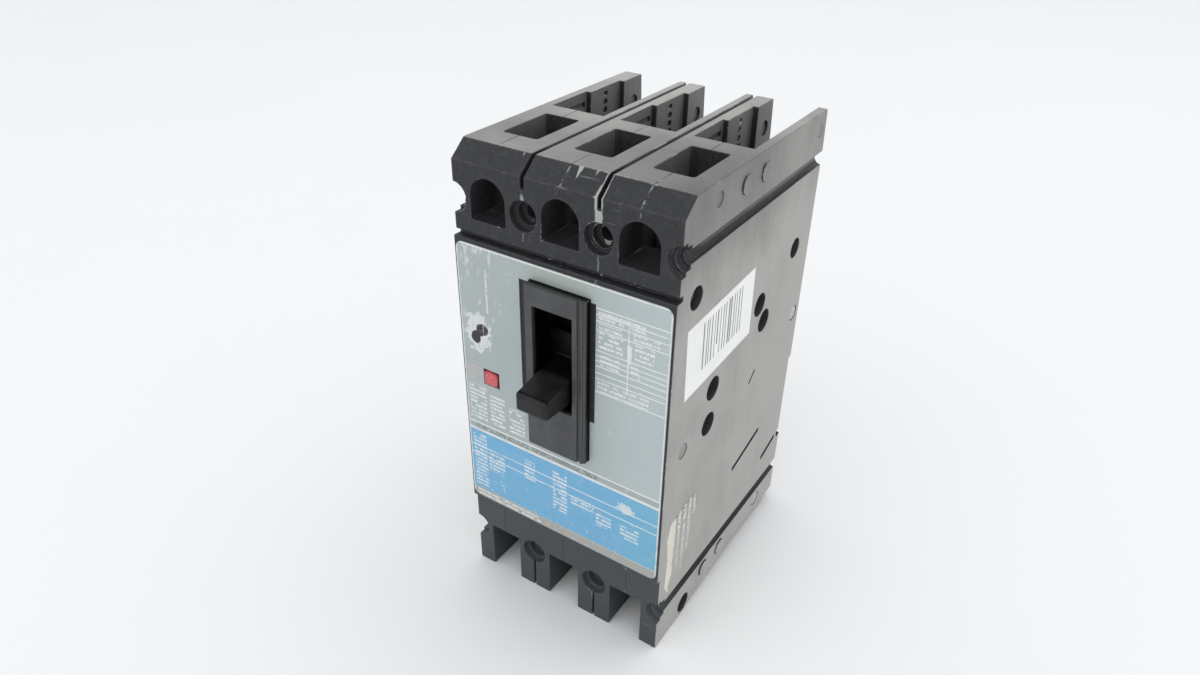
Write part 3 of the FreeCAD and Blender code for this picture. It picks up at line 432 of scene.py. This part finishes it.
def mix_nameplate():
    bench = Bench("nameplate print")
    x, z = bench.x, bench.z
    mottle = bench.noise(0.07, 5.0, 0.6)
    colour = bench.blend(mottle, (0.345, 0.395, 0.395), (0.425, 0.475, 0.480))
    # Painted light: the plate turns brighter towards its right.
    colour = bench.blend(bench.ramp(x, 4.0, 34.0) * 0.55, colour, (0.490, 0.560, 0.570))
    olive = bench.ramp(z, 122.0, 130.0) * bench.ramp(x.math("ABSOLUTE"), 14.0, 6.0)
    colour = bench.blend(olive * 0.5, colour, (0.38, 0.42, 0.36))
    blue = bench.blend(bench.noise(0.16, 4.0, 0.6, (1, 1, 3)), (0.125, 0.375, 0.600),
                       (0.205, 0.455, 0.680))
    blue = bench.blend(bench.ramp(x, 18.0, 37.0) * 0.45, blue, (0.17, 0.45, 0.56))
    colour = bench.blend(full_width(bench, BLUE_BAND), colour, blue)
    colour = bench.blend(full_width(bench, TITLE_BAND), colour, (0.36, 0.41, 0.40))
    colour = bench.blend(full_width(bench, FOOT_BAND), colour, (0.38, 0.385, 0.355))
    lines = [full_width(bench, heights) for heights in LINES]
    lines += [bench.patch(-HALF_PLATE, -36.9, PLATE_FOOT, PLATE_TOP),
              bench.patch(36.9, HALF_PLATE, PLATE_FOOT, PLATE_TOP),
              bench.patch(24.0, 24.4, 102.0, 122.1)]
    lines += [bench.patch(12.2, 36.8, rule - RULE, rule + RULE) for rule in RULES]
    rubbed = bench.ramp(bench.noise(0.35, 3.0, 0.6, shift=2.0), 0.25, 0.5)
    ruled = bench.strongest(lines) * (0.45 + 0.45 * rubbed)
    colour = bench.blend(ruled, colour, (0.74, 0.76, 0.76))
    letters = type_rows(bench)
    pale = bench.strongest([bench.patch(*block) for block in PALE_BLOCKS]) * letters
    colour = bench.blend(pale * (0.45 + 0.45 * rubbed), colour, (0.76, 0.77, 0.76))
    title = bench.patch(-34, 15, 64.4, 66.2) * bench.ramp(bench.noise(1.3, 1.0), 0.42, 0.5)
    colour = bench.blend(title * 0.6, colour, (0.13, 0.14, 0.15))
    hint = bench.patch(-36.0, -29.8, 83.6, 89.6) * letters
    colour = bench.blend(hint * 0.6, colour, (0.62, 0.45, 0.44))
    return wear_plate(bench, colour, mottle)


# %% Plate wear
# Each oval has its middle, across and up, then its half width and half height.
BARE = ((-28.9, 104.4, 2.5, 2.0), (-31.6, 101.0, 1.9, 2.2), (-30.2, 102.8, 1.6, 1.2))
HALO = (-30.6, 102.8, 5.4, 7.2)
FLARE = (24.6, 114.6, 0.8, 3.6)
FLAKE = (25.4, 57.8, 3.0, 1.8)


def spot(bench, x0, z0, half_x, half_z):
    """Distance from the middle of an oval, where 1 is its outline."""
    off_x, off_z = (bench.x - x0) / half_x, (bench.z - z0) / half_z
    return (off_x * off_x + off_z * off_z).math("SQRT")


def wear_plate(bench, colour, mottle):
    """Flaked patch, scuffs and scratches over the print."""
    x, z = bench.x, bench.z
    ragged = bench.noise(0.5, 3.0, 0.65)
    torn = bench.noise(0.9, 3.0, 0.7)
    halo = bench.ramp(spot(bench, *HALO) + 1.3 * (ragged - 0.5), 1.0, 0.86)
    halo = halo * bench.ramp(torn, 0.34, 0.42)
    colour = bench.blend(halo * 0.85, colour, (0.70, 0.72, 0.70))
    blobs = [bench.ramp(spot(bench, *oval) + 0.5 * (ragged - 0.5), 1.08, 0.92) for oval in BARE]
    bare = bench.strongest(blobs)
    colour = bench.blend(bare, colour, (0.026, 0.026, 0.030))
    corner = bench.ramp(z, 124.0, 131.0) * bench.ramp(x, -14.0, -34.0)
    upper_left = bench.ramp(x, -8.0, -34.0) * bench.ramp(z, 84.0, 104.0)
    scuffs = bench.ramp(bench.noise(0.5, 4.0, 0.7, (1, 1, 0.35), 6.0) + 0.07 * upper_left
                        + 0.09 * corner, 0.66, 0.71)
    drip = bench.near(x, -26.4, 0.35) * bench.ramp(torn, 0.40, 0.5)
    drip = drip * bench.patch(-28, -25, 111, 126)
    flare = bench.ramp(spot(bench, *FLARE) + 2.2 * (ragged - 0.5), 1.0, 0.7)
    flake = bench.ramp(spot(bench, *FLAKE) + 3.2 * (torn - 0.5), 1.0, 0.8)
    near_foot = bench.ramp(z, 46.0, 36.0) * 0.08
    flakes = bench.ramp(bench.noise(0.8, 3.0, 0.65, shift=3.0) + near_foot, 0.69, 0.73)
    scratch = bench.ramp(bench.noise(1.0, 2.0, 0.5, (0.12, 1, 1.6), 1.0), 0.71, 0.74)
    white = bench.strongest([scuffs * 0.5, drip * 0.6, flare * 0.8, flake * 0.75,
                             scratch * 0.3])
    colour = bench.blend(white, colour, (0.76, 0.78, 0.78))
    colour = bench.blend(flakes * 0.6, colour, (0.66, 0.66, 0.62))
    grime = bench.ramp(bench.noise(0.6, 4.0, 0.7, shift=8.0), 0.60, 0.8)
    colour = bench.blend(grime * 0.18, colour, (0.20, 0.21, 0.20))
    rough = 0.38 + 0.14 * mottle + 0.2 * scuffs
    relief = 1 - bare * 0.8 - flakes * 0.4 + 0.1 * mottle
    return bench.done(colour, rough, bench.bump(relief, 0.03), Metallic=0.15)


nameplate_print = mix_nameplate()

# %% [markdown]
# ## Paper stickers
# A white sticker with a row of bars sits on the right side, a little turned. Under it is the
# rest of an older label, torn off: its left edge is still cream paper, and to the right only
# fibres are left. The bars are evenly spaced strips, and a white noise that is looked up
# once for each strip sets its width.

# %% Bar sticker
BAR = 1.75  # from one bar to the next
TILT = math.radians(2.5)
STICKER_Y, STICKER_Z = -11.6, 111.85


def mix_bars():
    bench = Bench("bar sticker")
    off_y, off_z = bench.y - STICKER_Y, bench.z - STICKER_Z
    along = off_y * math.cos(TILT) + off_z * math.sin(TILT)
    across = off_z * math.cos(TILT) - off_y * math.sin(TILT)
    strip = bench.sum_of("FLOOR", along / BAR)
    within = bench.sum_of("FRACT", along / BAR)
    ink = bench.node("TexWhiteNoise", {"noise_dimensions": "1D"}, {"W": strip * 0.173})
    bars = bench.near(within, 0.35 + 0.3 * ink, 0.12 + 0.14 * (ink * 7.3).math("FRACT"))
    bars = bars * bench.near(along, 0.8, 12.6) * bench.near(across, 1.6, 8.0)
    bars = bars * (1 - bench.near(along, -3.0, 1.1) * bench.near(across, -5.0, 2.6))
    fibre = bench.noise(2.0, 4.0, 0.6)
    soil = bench.noise(0.1, 4.0, 0.6)
    paper = bench.blend(bench.ramp(soil, 0.3, 0.8), (0.90, 0.90, 0.89), (0.84, 0.84, 0.83))
    colour = bench.blend(bars * (0.75 + 0.2 * fibre), paper, (0.10, 0.10, 0.11))
    return bench.done(colour, 0.48 + 0.12 * fibre, bench.bump(fibre, 0.01))


# %% Torn label
COLUMN = 3.4  # width of a column of fibres


def mix_torn():
    bench = Bench("torn label")
    tear = bench.noise(0.32, 4.0, 0.65, (1, 1.2, 0.8))
    edge = bench.y + 8.0 * (tear - 0.5) + 2.0 * bench.ramp(bench.z, 30.0, 20.0)
    whole = bench.ramp(edge, -31.8, -32.3)
    column = bench.sum_of("FLOOR", bench.y / COLUMN)
    within = bench.sum_of("FRACT", bench.y / COLUMN)
    letter_at = bench.vector(bench.z * 1.3, column * 7.7, bench.y * 0.8)
    letters = bench.node("TexNoise", None, {"Vector": letter_at, "Scale": 1.0, "Detail": 2.0})
    reach = bench.ramp(bench.z + 0.9 * (bench.y + 26.0), 22.0, 34.0)
    fibres = bench.near(within, 0.5, 0.27) * bench.ramp(letters, 0.42, 0.50) * reach
    corner = bench.ramp(bench.z - 0.5 * bench.y, 56.0, 62.0)
    ground, _ = skin_film_and_sheen(bench)
    cream = bench.blend(tear, (0.66, 0.62, 0.53), (0.78, 0.75, 0.67))
    colour = bench.blend(fibres * (0.55 + 0.35 * corner), ground, (0.74, 0.72, 0.66))
    colour = bench.blend(whole, colour, cream)
    return bench.done(colour, 0.62 + 0.2 * tear, bench.bump(whole + 0.5 * fibres, 0.06))


bar_sticker = mix_bars()
torn_label = mix_torn()

# %% [markdown]
# ## Metals inside and at the terminals
# Sheet, wire, bar and casting all start as the same idea: a metal tone, the direction the
# tool dragged in, and dirt or tarnish that gathers in clouds. One function takes those and
# mixes each of them.

# %% Worked metal
def mix_metal(name, tone, tarnish, drag=(1, 1, 1), rough=0.3, amount=0.5, grain=2.0):
    bench = Bench(name)
    lines = bench.noise(grain, 3.0, 0.6, drag)
    cloud = bench.noise(0.18, 5.0, 0.65, shift=5.0)
    mask = bench.ramp(cloud, 0.42, 0.72) * amount
    colour = bench.blend(mask, tone, tarnish)
    colour = bench.blend(bench.ramp(lines, 0.55, 0.8) * 0.3, colour, tuple(0.7 * c for c in tone))
    surface = rough + 0.22 * mask + 0.12 * lines
    return bench.done(colour, surface, bench.bump(lines, 0.02), Metallic=1.0)


METALS = {
    "lug_aluminium": mix_metal("tinned aluminium", (0.66, 0.66, 0.65), (0.36, 0.36, 0.35),
                               (1, 1, 0.12), 0.34, 0.6),
    "plated_screw": mix_metal("plated screw steel", (0.56, 0.56, 0.54), (0.30, 0.28, 0.24),
                              (1, 0.3, 1), 0.28, 0.5),
    "zinc_steel": mix_metal("zinc-plated sheet", (0.60, 0.60, 0.57), (0.42, 0.40, 0.36),
                            (1, 1, 0.15), 0.30, 0.5, 1.2),
    "copper": mix_metal("bare copper", (0.72, 0.36, 0.22), (0.30, 0.15, 0.10),
                        (1, 0.6, 0.12), 0.30, 0.7),
    "silver_alloy": mix_metal("silver contact", (0.80, 0.78, 0.74), (0.34, 0.31, 0.27),
                              (1, 1, 1), 0.32, 0.6, 3.0),
    "bimetal": mix_metal("bimetal strip", (0.56, 0.52, 0.46), (0.33, 0.28, 0.24),
                         (1, 1, 0.1), 0.32, 0.5),
    "spring_steel": mix_metal("spring wire", (0.42, 0.42, 0.43), (0.22, 0.21, 0.20),
                              (1, 1, 1), 0.28, 0.4, 4.0),
}

# %% Fibre, brown plastic and braid
def mix_fibre():
    bench = Bench("vulcanised fibre")
    strands = bench.noise(0.9, 4.0, 0.7, (1, 0.3, 2.0))
    colour = bench.blend(strands, (0.34, 0.20, 0.14), (0.50, 0.34, 0.24))
    return bench.done(colour, 0.62 + 0.2 * strands, bench.bump(strands, 0.05))


def mix_inner():
    bench = Bench("inner thermoset")
    flow = bench.noise(0.25, 5.0, 0.65, (0.3, 1, 1))
    colour = bench.blend(flow, (0.055, 0.042, 0.036), (0.11, 0.085, 0.07))
    return bench.done(colour, 0.42 + 0.2 * flow, bench.bump(bench.noise(2.5), 0.03))


WEAVE = 2.6  # radians of weave in a millimetre


def mix_braid():
    bench = Bench("copper braid")
    up = (bench.y + bench.z) * WEAVE
    left = (bench.x * WEAVE + up).math("SINE")
    right = (bench.x * WEAVE - up).math("SINE")
    weave = left.math("MAXIMUM", right) * 0.5 + 0.5
    colour = bench.blend(bench.ramp(weave, 0.25, 0.9), (0.20, 0.09, 0.055), (0.74, 0.40, 0.26))
    return bench.done(colour, 0.34 + 0.2 * bench.noise(1.5), bench.bump(weave, 0.25), Metallic=1.0)


vulcanised_fibre = mix_fibre()
inner_thermoset = mix_inner()
copper_braid = mix_braid()

# %% [markdown]
# ## Dressing the frame's own pieces
# Pieces whose shape is already right keep the frame's mesh and only change material. The
# record's slot names say which material each one takes.

# %% Materials by slot
BY_SLOT = dict(METALS, case_phenolic=case_thermoset, front_plastic=front_plastic,
               nameplate_metal=nameplate_print, red_button=red_plastic, fibre=vulcanised_fibre,
               inner_plastic=inner_thermoset, label_paper=bar_sticker)
BY_NODE = {"torn_label": torn_label, "flexible_braids": copper_braid, "handle": handle_plastic,
           "dust_shield": shield_shade_black}


def finish_of(node):
    return BY_NODE.get(node, BY_SLOT[slot_of[node]])


for node, thing in nodes.items():
    thing.data.materials.clear()
    thing.data.materials.append(finish_of(node))
print("dressed", len(nodes), "nodes")

# %% [markdown]
# ## Softened mouldings
# No moulded or pressed part has a razor edge. A copy of the frame's mesh is merged into one
# skin, flat triangles are dissolved back into whole faces, every corner sharper than 30
# degrees is marked, and a Bevel modifier rounds the marked ones. Where several small cuts
# crowd together at the back edge there is no room for a strip, so those corners stay sharp.
# The strip gets its own material slot, which is where the chalky wear goes. Bevelling by
# hand with bmesh would also work, but a modifier can still be changed afterwards.

# %% Softened copy of a node
SHARP = math.radians(30)
FLAT = math.radians(0.6)
CROWDED = (Vector((35.0, 51.0, 30.5)) * MM, Vector((39.0, 56.0, 38.0)) * MM)


def mark_corners(work):
    """Gives each sharp edge a bevel weight, except in the crowded corner of the back edge."""
    weight = work.edges.layers.float.new("bevel_weight_edge")
    low, high = CROWDED
    for edge in work.edges:
        crowded = all(low.x < abs(v.co.x) < high.x and low.y < v.co.y < high.y
                      and low.z < v.co.z < high.z for v in edge.verts)
        edge[weight] = float(edge.calc_face_angle(0) > SHARP and not crowded)


def merged_copy(node, name):
    """A copy of a node's mesh as one skin of whole faces, ready to be worked over."""
    work = bmesh.new()
    work.from_mesh(nodes[node].data)
    bmesh.ops.remove_doubles(work, verts=work.verts, dist=0.002 * MM)
    bmesh.ops.dissolve_limit(work, angle_limit=FLAT, verts=work.verts, edges=work.edges)
    mark_corners(work)
    mesh = bpy.data.meshes.new(name)
    work.to_mesh(mesh)
    work.free()
    thing = bpy.data.objects.new(name, mesh)
    bpy.context.scene.collection.objects.link(thing)
    return thing


def stands_for(thing, node):
    """Puts a piece on the node's body, in its place, and hides the node."""
    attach(thing, body_of[node])
    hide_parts(node)


def soften(node, name, width, edge=None, segments=2, rounded=False):
    """Stands a softened copy in for a node. Rounded ones are shaded smooth; the rest keep
    flat shading, so that their broad faces stay evenly lit up to the strips."""
    thing = merged_copy(node, name)
    thing.data.materials.clear()
    thing.data.materials.append(finish_of(node))
    thing.data.materials.append(edge or finish_of(node))
    if rounded:
        thing.data.shade_smooth()
    round_off = thing.modifiers.new("round off", "BEVEL")
    round_off.width = width * MM
    round_off.segments = segments
    round_off.limit_method = "WEIGHT"
    round_off.use_clamp_overlap = False
    round_off.harden_normals = rounded
    round_off.material = 1
    stands_for(thing, node)


for shell in ("left_case_shell", "left_partition_shell", "right_partition_shell",
              "right_case_shell"):
    soften(shell, shell + "_moulding", 0.28, case_edge)
soften("escutcheon", "escutcheon_bezel", 0.35, front_edge)
soften("handle", "toggle_handle", 0.55, segments=3, rounded=True)
soften("trip_button", "push_to_trip_button", 0.3, rounded=True)
for pole in POLES:
    soften("line_lug_" + pole, "line_lug_body_" + pole, 0.5)
    soften("load_lug_" + pole, "load_lug_body_" + pole, 0.5)
    soften("line_clamp_screw_" + pole, "line_screw_" + pole, 0.3, rounded=True)
    soften("load_clamp_screw_" + pole, "load_screw_" + pole, 0.3, rounded=True)
soften("case_rivets", "case_rivet_set", 0.5, segments=3, rounded=True)

# %% [markdown]
# ## Coil springs
# In the frame a spring is a plain rod of the coil's outer size. A real one is wire wound on
# a mandrel. Spinning a small ring of wire round the axis while it climbs makes the whole
# coil in one operator, and filling the two open ends closes it.

# %% Wind a coil
WIRE_SIDES = 6
STEPS_A_TURN = 14


def wind(work, start, end, coil_r, wire_r, turns):
    """Adds one coil of wire, from start to end, to the bmesh."""
    way = end - start
    reach = way.length - 2 * wire_r
    lay = way.to_track_quat("Z", "Y").to_matrix().to_4x4()
    ring = bmesh.ops.create_circle(work, segments=WIRE_SIDES, radius=wire_r)["verts"]
    stand = (Matrix.Translation((coil_r - wire_r, 0, wire_r))
             @ Matrix.Rotation(math.pi / 2, 4, "X"))
    bmesh.ops.transform(work, matrix=Matrix.Translation(start) @ lay @ stand, verts=ring)
    steps = round(STEPS_A_TURN * turns)
    axis = way.normalized()
    outline = list({e for v in ring for e in v.link_edges})
    bmesh.ops.spin(work, geom=ring + outline, cent=start, axis=axis, steps=steps,
                   angle=turns * 2 * math.pi, dvec=axis * (reach / steps))


def coil_piece(name, node, coils):
    """One piece from coils that each give a start, an end, two radii and the turns."""
    work = bmesh.new()
    for coil in coils:
        wind(work, *coil)
    bmesh.ops.holes_fill(work, edges=work.edges, sides=8)
    bmesh.ops.recalc_face_normals(work, faces=work.faces)
    mesh = bpy.data.meshes.new(name)
    work.to_mesh(mesh)
    print(name, len(work.faces), "faces")
    work.free()
    mesh.shade_smooth()
    mesh.materials.append(METALS["spring_steel"])
    thing = bpy.data.objects.new(name, mesh)
    bpy.context.scene.collection.objects.link(thing)
    stands_for(thing, node)
    return thing


# %% Main springs, between the handle's yoke and the knee
joint_at = {j["name"]: Vector(j["pos_m"]) for j in frame["joints"] if "pos_m" in j}
low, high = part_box("main_springs")
knee = joint_at["upper_link_turn"]
SPRING_R = 0.9 * MM
KNEE_GAP = 1.25 * MM  # from the middle of the knee pin to the end of the coil
slope = Vector((0, knee.y - low.y, knee.z - high.z)).normalized()
hook = Vector((high.x - SPRING_R, low.y - SPRING_R * slope.z, high.z - SPRING_R * slope.y))
coils = []
for side in (1, -1):
    start = Vector((side * hook.x, hook.y, hook.z))
    end = Vector((side * hook.x, knee.y, knee.z)) - KNEE_GAP * slope
    coils.append((start, end, SPRING_R, 0.22 * MM, 34))
coil_piece("toggle_springs", "main_springs", coils)

# %% Button spring and contact springs
low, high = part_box("trip_button_spring")
middle = (low + high) / 2
seat, stop = Vector((middle.x, low.y, middle.z)), Vector((middle.x, high.y, middle.z))
button_spring = coil_piece("button_return_spring", "trip_button_spring",
                           [(seat, stop, (high.x - low.x) / 2, 0.3 * MM, 6)])
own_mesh(button_spring)
low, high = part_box("contact_springs")
bar = joint_at["crossbar_turn"]
one_wide = high.x - low.x - 2 * PITCH * MM
coils = []
for pole in range(len(POLES)):
    start = Vector((low.x + pole * PITCH * MM, bar.y, bar.z))
    coils.append((start, start + Vector((one_wide, 0, 0)), (high.z - low.z) / 2, 0.34 * MM, 2))
coil_piece("contact_pressure_springs", "contact_springs", coils)

# %% [markdown]
# ## Floor, light and camera
# The object stands on a plain pale floor in a white room. The room's even light is the
# world. Two large soft lamps add a little shape: one high on the right and behind, whose
# faint shadow falls on the left, and one in front and above. The camera is a 26 mm lens on a
# 36 mm wide frame, close above the object, turned 33 degrees to its right and looking down
# 32 degrees.

# %% Floor
FLOOR_REACH = 3.0  # metres from the middle to each side


def mix_floor():
    bench = Bench("pale floor")
    tone = bench.noise(0.004, 3.0)
    colour = bench.blend(tone, (0.855, 0.86, 0.868), (0.88, 0.883, 0.886))
    return bench.done(colour, 0.55 + 0.1 * tone, bench.bump(bench.noise(0.8), 0.02))


work = bmesh.new()
bmesh.ops.create_grid(work, x_segments=1, y_segments=1, size=FLOOR_REACH)
floor_mesh = bpy.data.meshes.new("floor")
work.to_mesh(floor_mesh)
work.free()
floor_mesh.materials.append(mix_floor())
floor = bpy.data.objects.new("floor", floor_mesh)
bpy.context.scene.collection.objects.link(floor)

# %% Light
scene = bpy.context.scene
scene.view_settings.view_transform = "Standard"
world = bpy.data.worlds.new("white room")
scene.world = world
world.use_nodes = True
world.node_tree.nodes["Background"].inputs["Color"].default_value = (0.97, 0.985, 1.0, 1.0)
world.node_tree.nodes["Background"].inputs["Strength"].default_value = 0.95


def soft_lamp(name, place, aim, size, watts):
    """A round white panel at a place, turned towards its aim."""
    light = bpy.data.lights.new(name, "AREA")
    light.shape = "DISK"
    light.size = size
    light.energy = watts
    lamp = bpy.data.objects.new(name, light)
    lamp.location = place
    lamp.rotation_euler = (Vector(aim) - Vector(place)).to_track_quat("-Z", "Y").to_euler()
    scene.collection.objects.link(lamp)


soft_lamp("ceiling panel", (0.5, 0.7, 1.6), (0, 0, 0.08), 1.2, 3.5)
soft_lamp("front panel", (-0.3, -1.3, 1.3), (0, 0, 0.05), 1.4, 4.0)

# %% Camera
AZIMUTH, ELEVATION, ROLL = 0.5732, 0.5521, 0.0184  # radians
EYE = (0.12699, -0.2152, 0.24445)
back = Vector((math.sin(AZIMUTH) * math.cos(ELEVATION), -math.cos(AZIMUTH) * math.cos(ELEVATION),
               math.sin(ELEVATION)))
level = Vector((math.cos(AZIMUTH), math.sin(AZIMUTH), 0))
upright = back.cross(level)
right = math.cos(ROLL) * level + math.sin(ROLL) * upright
up = math.cos(ROLL) * upright - math.sin(ROLL) * level
lens = bpy.data.cameras.new("camera")
lens.lens = 26.0
lens.sensor_width = 36.0
lens.clip_start = 0.01
camera = bpy.data.objects.new("camera", lens)
turn = Matrix((right, up, back)).transposed().to_4x4()
camera.matrix_world = Matrix.Translation(EYE) @ turn
scene.collection.objects.link(camera)
scene.camera = camera
